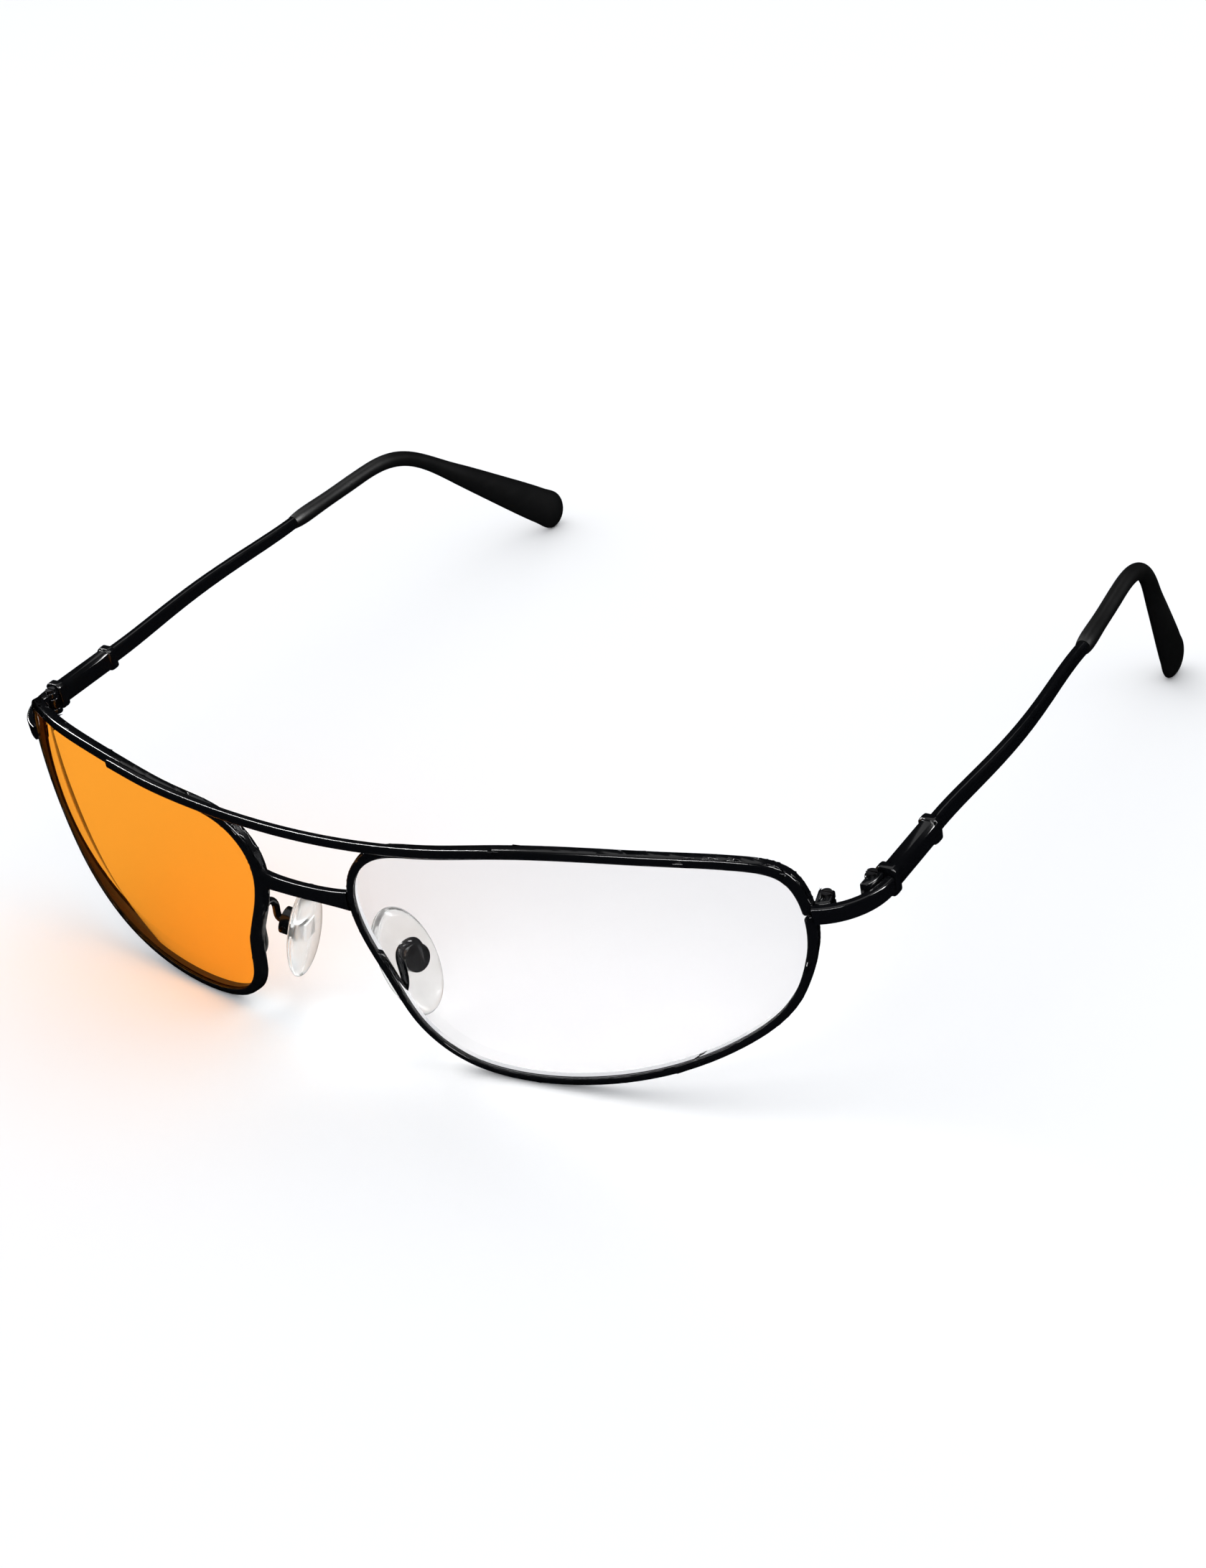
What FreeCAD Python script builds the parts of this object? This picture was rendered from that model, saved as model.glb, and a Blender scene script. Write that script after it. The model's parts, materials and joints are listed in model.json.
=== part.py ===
import FreeCAD, Part
import math
import os
import Sketcher

# Full metal double-bridge spectacles with spring hinges, temples open.
# Model frame while building: x runs from the nose to the wearer's left, y from the front to the ears,
# z up from the lowest point of the rims. The finished pieces are then tipped and moved together, so that
# rims and temple tips stand on z = 0 with the origin under the middle of the object.

Vector = FreeCAD.Vector
Placement = FreeCAD.Placement
Rotation = FreeCAD.Rotation

SIZES = [
    ("lens_width", 58.2, "width of the opening of one rim"),
    ("lens_height", 35.2, "height of the opening of one rim"),
    ("nose_gap", 17.9, "least distance between the two openings"),
    ("pole_inset", 1.8, "middle of the opening to the pole of the lens curve, towards the nose"),
    ("pole_rise", 2.0, "pole of the lens curve above the middle of the opening"),
    ("face_angle", 15.2, "turn of each rim to the side, degrees"),
    ("front_radius", 70.35, "radius of the front faces of the rims"),
    ("rim_width", 1.2, "width of the eyewire seen from the front"),
    ("rim_depth", 1.4, "middle depth of the eyewire"),
    ("depth_rise", 0.2, "shift of the back curve that deepens the top of the eyewire"),
    ("depth_side", 0.1, "shift of the back curve that deepens the temple side of the eyewire"),
    ("lens_inset", 0.45, "lens front behind the rim front"),
    ("lens_thickness", 1.6, "thickness of a lens"),
    ("bevel_inset", 0.5, "lens bevel behind the rim front"),
    ("bevel_thickness", 0.4, "thickness of the bevel along the lens edge"),
    ("bevel_height", 0.5, "height of the bevel along the lens edge"),
    ("tool_behind", 26.0, "how far the cutting tools reach behind the rims"),
    ("tool_ahead", 6.0, "how far the cutting tools reach in front of the rims"),
    ("seat_gap", 0.05, "gap round a lens in its rim"),
    ("braze_gap", 0.03, "gap left between brazed pieces"),
    ("slit", 0.2, "slit that lets the eyewire open"),
    ("brow_reach", 32.0, "middle of the nose to the end of the brow bar"),
    ("brow_height", 34.6, "height of the brow bar at the middle"),
    ("brow_tall", 1.3, "height of the section of the brow bar"),
    ("brow_thick", 1.2, "depth of the section of the brow bar"),
    ("brow_stand", 0.12, "brow bar in front of the rims"),
    ("brow_bow", 0.3, "how far the middle of the brow bar stands forward of its leaving points"),
    ("brow_raise", 0.7, "middle of the brow bar above the middle of the eyewire that it lies on"),
    ("brow_climb", 0.18, "how much higher it lies where it leaves the eyewire"),
    ("brow_leave", 0.62, "where it leaves the eyewire, as a share of the way from the pole to the nose side"),
    ("bridge_height", 25.2, "height of the lower bridge"),
    ("bridge_tall", 2.1, "height of the section of the lower bridge"),
    ("bridge_thick", 1.5, "depth of the section of the lower bridge"),
    ("bridge_flare", 0.9, "how much taller the lower bridge is at its ends"),
    ("bridge_bow", 0.9, "how far the middle of the lower bridge stands forward of its ends"),
    ("bridge_rise", 0.4, "how far the middle of the lower bridge lies above its ends"),
    ("strap_height", 25.9, "height of the middle of the end piece, hinge and temple"),
    ("strap_tall", 2.35, "height of the end piece"),
    ("strap_thick", 1.2, "thickness of the end piece"),
    ("strap_round", 0.3, "rounding of the long edges of the end piece"),
    ("strap_turn", 20.0, "heading of the end piece where it leaves the rim, degrees"),
    ("strap_side", 6.2, "how far the end piece swings out to the side"),
    ("strap_start", 0.5, "how far the end piece laps into the width of the eyewire"),
    ("strap_proud", 0.35, "front of the end piece in front of the eyewire where they meet"),
    ("hinge_inset", 1.75, "hinge axis inside the middle of the end piece"),
    ("hinge_back", 1.0, "hinge axis in front of the end of the end piece"),
    ("knuckle_radius", 0.95, "radius of the hinge knuckles"),
    ("knuckle_stack", 3.6, "height of the three knuckles together"),
    ("middle_knuckle", 1.6, "height of the middle knuckle"),
    ("knuckle_gap", 0.06, "gap above and below the middle knuckle"),
    ("plate_length", 2.3, "length of the plate of the hinge in front of its axis"),
    ("web_thick", 0.5, "how far the plate of the hinge reaches inside its axis"),
    ("pin_radius", 0.4, "radius of the hinge screw"),
    ("pin_gap", 0.03, "radial gap round the hinge screw"),
    ("butt_gap", 0.3, "gap between the end piece and the collar of the housing"),
    ("housing_offset", 0.05, "middle of the housing outside the middle of its channel"),
    ("housing_width", 2.2, "width of the hinge housing"),
    ("housing_height", 3.3, "height of the hinge housing"),
    ("housing_length", 12.6, "length of the hinge housing"),
    ("housing_bevel", 0.45, "bevel along the edges of the housing"),
    ("collar_width", 2.8, "width of the front collar"),
    ("collar_height", 4.1, "height of the front collar"),
    ("collar_length", 1.4, "length of the front collar"),
    ("ring_length", 1.3, "length of the rear collar"),
    ("ring_stand", 0.22, "rear collar proud of the housing"),
    ("tongue_width", 1.0, "width of the tongue of the slider"),
    ("tongue_length", 4.0, "length of the tongue inside the housing"),
    ("slide_gap", 0.07, "gap round the tongue in its channel"),
    ("rod_radius", 0.25, "radius of the rod that carries the spring"),
    ("rod_length", 4.4, "length of the rod behind the tongue"),
    ("chamber_radius", 0.68, "radius of the spring chamber"),
    ("stop_length", 0.7, "length of the stop on the end of the rod"),
    ("guide_length", 0.6, "length of the ring that holds the spring in the housing"),
    ("spring_wire", 0.09, "radius of the spring wire"),
    ("spring_turns", 6.0, "turns of the spring"),
    ("coil_gap", 0.08, "gap between the spring and its chamber"),
    ("end_gap", 0.04, "gap between pieces that meet end to end"),
    ("bar_tall", 2.6, "height of the temple bar at the housing"),
    ("bar_tall_end", 2.0, "height of the temple bar at the sleeve"),
    ("bar_thick", 1.3, "thickness of the temple bar"),
    ("bar_length", 45.2, "length of the temple bar between housing and sleeve"),
    ("bar_bow", 1.0, "outward bow of the middle of the temple bar"),
    ("tenon_length", 2.2, "length of the temple end inside the housing"),
    ("tip_fall", 30.4, "how far the end of a temple tip lies below the temple"),
    ("straight_left", 17.6, "straight stretch of the left temple tip before its bend"),
    ("toe_left", 5.5, "turn of the left tip towards the head, degrees"),
    ("bend_radius_left", 16.0, "radius of the bend over the left ear"),
    ("drop_angle_left", 55.5, "turn of that bend, degrees"),
    ("lean_left", 4.5, "lean of the left tip towards the head, degrees"),
    ("straight_right", 19.2, "straight stretch of the right temple tip before its bend"),
    ("toe_right", 2.0, "turn of the right tip towards the head, degrees"),
    ("bend_radius_right", 24.0, "radius of the bend over the right ear"),
    ("drop_angle_right", 39.5, "turn of that bend, degrees"),
    ("lean_right", 4.0, "lean of the right tip towards the head, degrees"),
    ("sleeve_tall", 2.6, "height of the sleeve at its start"),
    ("sleeve_thick", 2.4, "thickness of the sleeve at its start"),
    ("paddle_tall", 7.0, "height of the flat end of the temple tip"),
    ("paddle_thick", 2.9, "thickness of the flat end of the temple tip"),
    ("paddle_taper", 0.35, "how far before its end the tip is fully broad, as a share of its height"),
    ("paddle_round", 0.38, "length of the rounded end, as a share of the height of the flat end"),
    ("sleeve_mouth", 0.86, "size of the mouth of the sleeve against the sleeve"),
    ("core_radius", 0.55, "radius of the wire inside the temple tip"),
    ("core_gap", 0.04, "radial gap round that wire"),
    ("core_share", 0.8, "share of the temple tip that the wire reaches"),
    ("block_width", 1.85, "closing block out from the eyewire"),
    ("block_depth", 3.2, "depth of the closing block"),
    ("block_back", 4.0, "rear of the closing block behind the front of the rim"),
    ("block_tall", 1.0, "height of each half of the closing block"),
    ("block_round", 0.4, "rounding of the rear edges of the closing block"),
    ("small_screw", 0.42, "radius of the closing screws"),
    ("small_head", 0.72, "radius of the heads of the closing and hinge screws"),
    ("pad_screw", 0.3, "radius of the pad screws"),
    ("pad_head", 0.5, "radius of the heads of the pad screws"),
    ("head_height", 0.4, "height of the screw heads"),
    ("driver_slot", 0.22, "width of the driver slots"),
    ("pad_height", 13.4, "height of the middle of a nose pad"),
    ("pad_out", 10.9, "middle of the nose to the pad box"),
    ("pad_back", 4.6, "pad box behind the pole of the lenses"),
    ("pad_long", 16.0, "length of a nose pad"),
    ("pad_wide", 8.8, "width of a nose pad"),
    ("pad_dome", 1.5, "height of the domed side of a nose pad"),
    ("pad_under", 0.8, "thickness of a nose pad behind its middle"),
    ("pad_round", 0.35, "rounding of the rear edge of a nose pad"),
    ("pad_lean", 17.0, "lean of the nose pads, degrees"),
    ("pad_splay", 11.0, "splay of the nose pads, degrees"),
    ("box_radius", 1.9, "radius of the pad box"),
    ("box_depth", 1.5, "depth of the pad box"),
    ("box_window", 1.7, "side of the square window in the pad box"),
    ("box_floor", 0.3, "floor of the pad box"),
    ("pad_drop", 0.8, "middle of a nose pad below its box"),
    ("box_standoff", 0.7, "gap between the pad box and the pad"),
    ("stem_side", 1.45, "side of the stem of the pad insert"),
    ("insert_long", 2.8, "length of the plate of the pad insert"),
    ("insert_wide", 2.0, "width of the plate of the pad insert"),
    ("insert_thick", 0.4, "thickness of the plate of the pad insert"),
    ("insert_gap", 0.03, "gap round the insert in the pad"),
    ("arm_radius", 0.52, "radius of the wire of a pad arm"),
    ("arm_rise", 6.2, "rise of the pad arm above its foot"),
    ("foot_drop", 1.9, "foot of the pad arm below the middle of the nose pad"),
]

# The shape of the opening, as shares of half its width and half its height, from the temple side round
# over the top.
OUTLINE = [
    (0.995, 0.10), (0.995, 0.46), (0.925, 0.71), (0.77, 0.836), (0.46, 0.938), (0.10, 0.998),
    (-0.25, 0.985), (-0.60, 0.905), (-0.885, 0.765), (-1.0, 0.49), (-0.985, 0.15), (-0.885, -0.26),
    (-0.80, -0.66), (-0.64, -0.915), (-0.40, -1.0), (-0.08, -0.975), (0.30, -0.85), (0.68, -0.59),
    (0.90, -0.29),
]

doc = FreeCAD.newDocument("spectacles")
sheet = doc.addObject("Spreadsheet::Sheet", "Sizes")
for row, (alias, number, note) in enumerate(SIZES, start=1):
    sheet.set(f"A{row}", alias)
    sheet.set(f"B{row}", str(number))
    sheet.setAlias(f"B{row}", alias)
    sheet.set(f"C{row}", note)
doc.recompute()


def size(alias):
    """A size in millimetres or degrees, as the sheet holds it."""
    return float(getattr(sheet, alias))


def bind(item, **links):
    """Tie properties of an object to expressions of the sheet's cells."""
    for name, expression in links.items():
        item.setExpression(name, expression)
    return item


def cell(expression):
    """Write an expression of aliases the way the sheet is addressed."""
    words = expression.split(" ")
    return " ".join("Sizes." + word if word.isidentifier() else word for word in words)


def frame_at(origin, x_axis, y_axis):
    """The placement whose own x and y run along the two given directions."""
    x_axis = Vector(x_axis).normalize()
    y_axis = Vector(y_axis).normalize()
    z_axis = x_axis.cross(y_axis)
    matrix = FreeCAD.Matrix(
        x_axis.x, y_axis.x, z_axis.x, origin.x,
        x_axis.y, y_axis.y, z_axis.y, origin.y,
        x_axis.z, y_axis.z, z_axis.z, origin.z,
        0, 0, 0, 1)
    return Placement(matrix)


def feature(name, shape):
    """A sub-part, or a tool for one, whose shape is worked out here."""
    item = doc.addObject("Part::Feature", name)
    item.Label = name
    item.Shape = shape
    return item


def box(name, length, width, height, at):
    """A box bound to the sheet, from its low corner."""
    item = doc.addObject("Part::Box", name)
    bind(item, Length=cell(length), Width=cell(width), Height=cell(height))
    item.Placement = at
    return item


def cylinder(name, radius, height, at):
    """A cylinder bound to the sheet, along its own z."""
    item = doc.addObject("Part::Cylinder", name)
    bind(item, Radius=cell(radius), Height=cell(height))
    item.Placement = at
    return item


def fuse(name, base, tool):
    item = doc.addObject("Part::Fuse", name)
    item.Label = name
    item.Base = base
    item.Tool = tool
    return item


def cut(name, base, tool):
    item = doc.addObject("Part::Cut", name)
    item.Label = name
    item.Base = base
    item.Tool = tool
    return item


def new_body(name, at):
    """A body whose origin lies at a place of the object."""
    body = doc.addObject("PartDesign::Body", name)
    body.Label = name
    body.Placement = at
    return body


def new_sketch(body, name, offset=None):
    """A sketch on the body's own XY plane, at a distance bound to the sheet."""
    sketch = body.newObject("Sketcher::SketchObject", name)
    plane = next(item for item in body.Origin.OriginFeatures if item.Role == "XY_Plane")
    sketch.AttachmentSupport = [(plane, "")]
    sketch.MapMode = "FlatFace"
    if offset:
        sketch.setExpression("AttachmentOffset.Base.z", cell(offset))
    return sketch


def pin_point(sketch, geometry, end, across, up):
    """Hold one point of a sketch at two distances from the sketch's origin."""
    for kind, expression in (("DistanceX", across), ("DistanceY", up)):
        number = sketch.addConstraint(Sketcher.Constraint(kind, -1, 1, geometry, end, 1.0))
        sketch.setExpression(f"Constraints[{number}]", cell(expression))


def polygon(sketch, corners):
    """A closed polygon whose corners are held by expressions; the guess is a regular one."""
    count = len(corners)
    turns = [2 * math.pi * (step + 0.5) / count for step in range(count)]
    guess = [Vector(math.cos(turn), math.sin(turn), 0) for turn in turns]
    lines = [sketch.addGeometry(Part.LineSegment(guess[step], guess[(step + 1) % count]), False)
             for step in range(count)]
    for step, line in enumerate(lines):
        sketch.addConstraint(Sketcher.Constraint("Coincident", line, 2, lines[(step + 1) % count], 1))
    for line, (across, up) in zip(lines, corners):
        pin_point(sketch, line, 1, across, up)


def rectangle(sketch, width, height):
    """A rectangle about the sketch's origin."""
    half_width = f"( {width} ) / 2"
    half_height = f"( {height} ) / 2"
    polygon(sketch, [(half_width, half_height), (f"-1 * {half_width}", half_height),
                     (f"-1 * {half_width}", f"-1 * {half_height}"), (half_width, f"-1 * {half_height}")])


def bevelled_rectangle(sketch, width, height, bevel):
    """A rectangle about the sketch's origin with its four corners cut off."""
    far_x = f"( {width} ) / 2"
    far_y = f"( {height} ) / 2"
    near_x = f"( {far_x} - {bevel} )"
    near_y = f"( {far_y} - {bevel} )"
    polygon(sketch, [
        (far_x, near_y), (near_x, far_y), (f"-1 * {near_x}", far_y), (f"-1 * {far_x}", near_y),
        (f"-1 * {far_x}", f"-1 * {near_y}"), (f"-1 * {near_x}", f"-1 * {far_y}"),
        (near_x, f"-1 * {far_y}"), (far_x, f"-1 * {near_y}")])


def circle(sketch, radius):
    """A circle about the sketch's origin."""
    ring = sketch.addGeometry(Part.Circle(Vector(0, 0, 0), Vector(0, 0, 1), 1.0), False)
    sketch.addConstraint(Sketcher.Constraint("Coincident", ring, 3, -1, 1))
    number = sketch.addConstraint(Sketcher.Constraint("Radius", ring, 1.0))
    sketch.setExpression(f"Constraints[{number}]", cell(radius))


def pad(body, sketch, length):
    item = body.newObject("PartDesign::Pad", sketch.Name + "_pad")
    item.Profile = sketch
    item.setExpression("Length", cell(length))
    return item


def pocket(body, sketch, length):
    """Cut forward along the body's own z from the sketch."""
    item = body.newObject("PartDesign::Pocket", sketch.Name + "_pocket")
    item.Profile = sketch
    item.Reversed = True
    item.setExpression("Length", cell(length))
    return item


# ---------------------------------------------------------------- places worked out from the sizes

face_turn = math.radians(size("face_angle"))
half_width = size("lens_width") / 2
half_height = size("lens_height") / 2
middle_height = size("rim_width") + half_height
pole_height = middle_height + size("pole_rise")
nose_reach = half_width - size("pole_inset")
curve_radius = size("front_radius")
nose_sag = curve_radius - math.sqrt(curve_radius ** 2 - nose_reach ** 2)
pole_x = size("nose_gap") / 2 + nose_reach * math.cos(face_turn) + nose_sag * math.sin(face_turn)
lens_place = frame_at(Vector(pole_x, 0, 0), (math.cos(face_turn), math.sin(face_turn), 0), (0, 0, 1))


def closed_curve(points):
    """A smooth closed curve through points."""
    curve = Part.BSplineCurve()
    curve.interpolate(Points=points, PeriodicFlag=True)
    return curve


def opening(grow=0.0):
    """The opening of a rim as a closed curve seen along the axis of its lens, grown by a distance."""
    curve = closed_curve([
        Vector(size("pole_inset") + share_x * half_width, middle_height + share_y * half_height, 0)
        for share_x, share_y in OUTLINE])
    if not grow:
        return curve
    count = 3 * len(OUTLINE)
    span = curve.LastParameter - curve.FirstParameter
    grown = []
    for step in range(count):
        share = curve.FirstParameter + span * step / count
        heading = curve.tangent(share)[0]
        grown.append(curve.value(share) + Vector(heading.y, -heading.x, 0).normalize() * grow)
    return closed_curve(grown)


def prism(grow):
    """The opening, grown by a distance, as a solid along the axis of the lens."""
    wire = Part.Wire(opening(grow).toShape())
    wire.translate(Vector(0, 0, -size("tool_behind")))
    return Part.Face(wire).extrude(Vector(0, 0, size("tool_behind") + size("tool_ahead")))


def ball(inset, side=0.0, rise=0.0):
    """The ball of a lens curve, its seam and poles away from the lens."""
    solid = Part.makeSphere(curve_radius - inset)
    solid.rotate(Vector(0, 0, 0), Vector(1, 0, 0), 90)
    solid.translate(Vector(side, pole_height + rise, -curve_radius))
    return solid


def front_of(across, up):
    """How far in front of the pole the rim's front lies, along the lens axis (below zero)."""
    return math.sqrt(curve_radius ** 2 - across ** 2 - (up - pole_height) ** 2) - curve_radius


def edge_at_height(up, side):
    """Where the opening's edge lies at a height, on the nose side (-1) or the temple side (1)."""
    curve = opening()
    line = Part.Line(Vector(0, up, 0), Vector(1, up, 0)).toShape(-100, 100)
    gap, pairs, _ = curve.toShape().distToShape(line)
    crossings = [pair[0].x for pair in pairs if gap < 1e-6]
    return max(crossings) if side > 0 else min(crossings)


def edge_above(across):
    """Height of the top edge of the opening at a place across the lens."""
    curve = opening()
    line = Part.Line(Vector(across, 0, 0), Vector(across, 1, 0)).toShape(-100, 100)
    gap, pairs, _ = curve.toShape().distToShape(line)
    return max(pair[0].y for pair in pairs)


def rounded_wire(width, height, place, corner):
    """A rectangle with round corners about the origin of a placement."""
    x, y, r = width / 2, height / 2, corner
    turn = r * (1 - math.sqrt(0.5))
    edges = []
    for sx, sy in ((1, 1), (-1, 1), (-1, -1), (1, -1)):
        first = Vector(sx * x, sy * (y - r), 0)
        last = Vector(sx * (x - r), sy * y, 0)
        middle = Vector(sx * (x - turn), sy * (y - turn), 0)
        if sx * sy < 0:
            first, last = last, first
        edges.append(Part.Arc(first, middle, last).toShape())
    joined = []
    for step, edge in enumerate(edges):
        after = edges[(step + 1) % 4]
        joined.append(edge)
        joined.append(Part.LineSegment(edge.lastVertex().Point, after.firstVertex().Point).toShape())
    wire = Part.Wire(joined)
    wire.Placement = place
    return wire


def loft_along(curve, count, section, level):
    """A solid through sections set square to a curve; own x of each lies square to the level direction."""
    wires = []
    for step in range(count):
        share = curve.FirstParameter + (curve.LastParameter - curve.FirstParameter) * step / (count - 1)
        heading = curve.tangent(share)[0]
        side = Vector(level).cross(heading)
        place = frame_at(curve.value(share), side, heading.cross(side))
        wires.append(section(place))
    return Part.makeLoft(wires, True, False)


# ---------------------------------------------------------------- rims and lenses

def make_rim():
    ring = prism(size("rim_width")).cut(prism(0))
    back = ball(size("rim_depth"), size("depth_side") * -1, size("depth_rise") * -1)
    ring = ring.common(ball(0)).cut(back)
    gap = size("seat_gap")
    groove = prism(size("bevel_height") + gap).common(ball(size("bevel_inset") - gap))
    groove = groove.cut(ball(size("bevel_inset") + size("bevel_thickness") + gap))
    slit = Part.makeBox(
        half_width, size("slit"), size("tool_behind") + size("tool_ahead"),
        Vector(nose_reach / 2, size("strap_height") - size("slit") / 2, -size("tool_behind")))
    rim = ring.cut(groove).cut(slit)
    rim.Placement = lens_place
    return feature("rim_left", rim)


def make_lens():
    body = prism(-size("seat_gap")).common(ball(size("lens_inset")))
    body = body.cut(ball(size("lens_inset") + size("lens_thickness")))
    bevel = prism(size("bevel_height")).common(ball(size("bevel_inset")))
    bevel = bevel.cut(ball(size("bevel_inset") + size("bevel_thickness")))
    lens = body.fuse(bevel)
    lens.Placement = lens_place
    return feature("lens_left", lens)


def rim_room():
    """The space of a whole rim and what it surrounds, grown by the braze gap."""
    room = prism(size("rim_width") + size("braze_gap"))
    room.Placement = lens_place
    return room


# ---------------------------------------------------------------- bars over the nose

def make_brow_bar():
    stand = size("brow_thick") / 2 + size("brow_stand")
    side = []
    inner = nose_reach * size("brow_leave")
    outer = (pole_x - size("brow_reach")) / math.cos(face_turn)
    for share in (0, 1 / 3, 2 / 3, 1):
        across = -(outer + share * (inner - outer))
        up = edge_above(across) + size("rim_width") / 2 + size("brow_raise") + size("brow_climb") * share
        side.append(lens_place.multVec(Vector(across, up, front_of(across, up) + stand)))
    ridge = Vector(0, side[-1].y - size("brow_bow"), size("brow_height"))
    points = side + [ridge] + [Vector(-point.x, point.y, point.z) for point in reversed(side)]
    curve = Part.BSplineCurve()
    curve.interpolate(points)

    def section(place):
        return rounded_wire(size("brow_thick"), size("brow_tall"), place, size("brow_thick") * 0.3)

    return feature("brow_bar", loft_along(curve, 21, section, (0, 0, 1)))


def make_bridge():
    up = size("bridge_height")
    across = edge_at_height(up, -1) - size("rim_width") / 2
    end = lens_place.multVec(Vector(across, up, front_of(across, up) - size("bridge_thick") / 2))
    sections = []
    for share in (-1, -0.55, 0, 0.55, 1):
        tall = size("bridge_tall") + size("bridge_flare") * abs(share) ** 3
        arch = 1 - share ** 2
        middle = Vector(end.x * share, end.y - size("bridge_bow") * arch, up + size("bridge_rise") * arch)
        place = frame_at(middle, (0, 1, 0), (0, 0, 1))
        sections.append(rounded_wire(size("bridge_thick"), tall, place, size("bridge_thick") * 0.35))
    bridge = Part.makeLoft(sections, True, False)
    left = rim_room()
    right = left.mirror(Vector(0, 0, 0), Vector(1, 0, 0))
    return feature("bridge", bridge.cut(left).cut(right))


# ---------------------------------------------------------------- end piece and closing block

strap_up = size("strap_height")
strap_turn = math.radians(size("strap_turn"))
start_across = edge_at_height(strap_up, 1) + size("rim_width") - size("strap_start")
start_depth = front_of(start_across, strap_up) + size("strap_proud") - size("strap_thick") / 2
strap_start = lens_place.multVec(Vector(start_across, strap_up, start_depth))
strap_radius = size("strap_side") / (1 - math.sin(strap_turn))
strap_x = strap_start.x + size("strap_side")
strap_end = strap_start.y + strap_radius * math.cos(strap_turn)
hinge_x = strap_x - size("hinge_inset")
hinge_y = strap_end - size("hinge_back")
collar_y = strap_end + size("butt_gap")


def strap_solid(thick, tall):
    """The curved strap of the end piece, at a thickness and a height."""
    centre_x = strap_x - strap_radius
    sides = []
    for reach in (strap_radius + thick / 2, strap_radius - thick / 2):
        points = [Vector(centre_x + reach * math.sin(turn), strap_end - reach * math.cos(turn), strap_up)
                  for turn in (strap_turn, (strap_turn + math.pi / 2) / 2, math.pi / 2)]
        sides.append(points)
    outer, inner = sides
    outline = Part.Wire([
        Part.Arc(*outer).toShape(),
        Part.LineSegment(outer[2], inner[2]).toShape(),
        Part.Arc(inner[2], inner[1], inner[0]).toShape(),
        Part.LineSegment(inner[0], outer[0]).toShape()])
    solid = Part.Face(outline).extrude(Vector(0, 0, tall))
    solid.translate(Vector(0, 0, -tall / 2))
    return solid


def make_end_piece():
    strap = strap_solid(size("strap_thick"), size("strap_tall"))
    long_edges = [edge for edge in strap.Edges if edge.Length > 2 * size("strap_tall")]
    strap = strap.makeFillet(size("strap_round"), long_edges)
    return feature("end_piece_left", strap.cut(rim_room()))


def make_closing_blocks():
    across = edge_at_height(strap_up, 1) + size("rim_width")
    back = front_of(across, strap_up) - size("block_back")
    room = rim_room()
    grow = 2 * size("braze_gap")
    strap = strap_solid(size("strap_thick") + grow, size("strap_tall") + grow)
    halves = []
    tall = size("block_tall")
    screw_across = across + size("block_width") * 0.55
    screw_depth = back + size("block_depth") * 0.36
    hole = Part.makeCylinder(
        size("small_screw") + size("pin_gap"), 4 * tall,
        Vector(screw_across, strap_up - 2 * tall, screw_depth), Vector(0, 1, 0))
    for name, low in (("closing_block_upper_left", strap_up + size("slit") / 2),
                      ("closing_block_lower_left", strap_up - size("slit") / 2 - tall)):
        block = Part.makeBox(
            size("block_width") + 1, tall, size("block_depth"), Vector(across - 1, low, back))
        rear = [edge for edge in block.Edges
                if abs(edge.CenterOfMass.z - back) < 1e-6 and edge.CenterOfMass.x > across]
        block = block.makeFillet(size("block_round"), rear).cut(hole)
        block.Placement = lens_place
        halves.append(feature(name, block.cut(room).cut(strap)))
    low_end = lens_place.multVec(Vector(screw_across, strap_up - size("slit") / 2 - tall, screw_depth))
    screw = make_screw("closing_screw_left", "small_screw", "2 * block_tall + slit + pin_gap", "small_head",
                       Placement(low_end, Rotation()))
    return halves + [screw]


def make_screw(name, radius, length, head_radius, at):
    """A slotted screw: the shank starts at the placement and ends under the head."""
    shank = cylinder(name + "_shank", radius, length, Placement())
    head = cylinder(name + "_head", head_radius, "head_height", Placement())
    head.setExpression("Placement.Base.z", cell(length))
    slot = box(name + "_slot", f"4 * {head_radius}", "driver_slot", "head_height", Placement())
    slot.setExpression("Placement.Base.x", cell(f"-2 * {head_radius}"))
    slot.setExpression("Placement.Base.y", cell("-1 * driver_slot / 2"))
    slot.setExpression("Placement.Base.z", cell(f"{length} + head_height / 2"))
    screw = cut(name, fuse(name + "_blank", shank, head), slot)
    screw.Placement = at
    return screw


# ---------------------------------------------------------------- hinge

stack_low = strap_up - size("knuckle_stack") / 2
middle_low = strap_up - size("middle_knuckle") / 2
tongue_x = hinge_x + size("knuckle_radius")
housing_x = tongue_x + size("housing_offset")


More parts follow.
